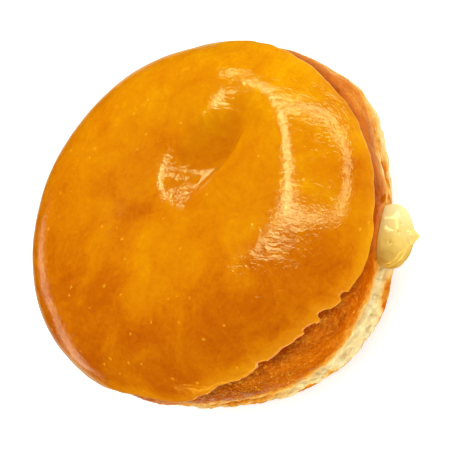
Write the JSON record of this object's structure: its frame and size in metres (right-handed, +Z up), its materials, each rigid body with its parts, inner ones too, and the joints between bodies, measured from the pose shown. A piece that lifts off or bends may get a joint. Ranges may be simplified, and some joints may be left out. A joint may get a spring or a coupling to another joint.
{
  "type": "cream-filled doughnut",
  "caption": "Glazed yeast doughnut with a closed dimple on top, a pale waist, and soft cream swelling out of the filling hole in its side.",
  "frame": {"origin": "middle of the underside of the object's box, on the surface that it rests on", "axes": "+Z up through the top of the doughnut; the filling hole and its cream face -Y; +X to the right as seen facing the cream"},
  "size_m": [0.0902, 0.1, 0.045],
  "materials": {
    "fried_dough": "browned, fine-grained",
    "amber_glaze": "glossy, set",
    "pastry_cream": "smooth, soft"
  },
  "bodies": {
    "root": {"dough": "fried_dough", "glaze": "amber_glaze", "cream": "pastry_cream"}
  },
  "joints": []
}
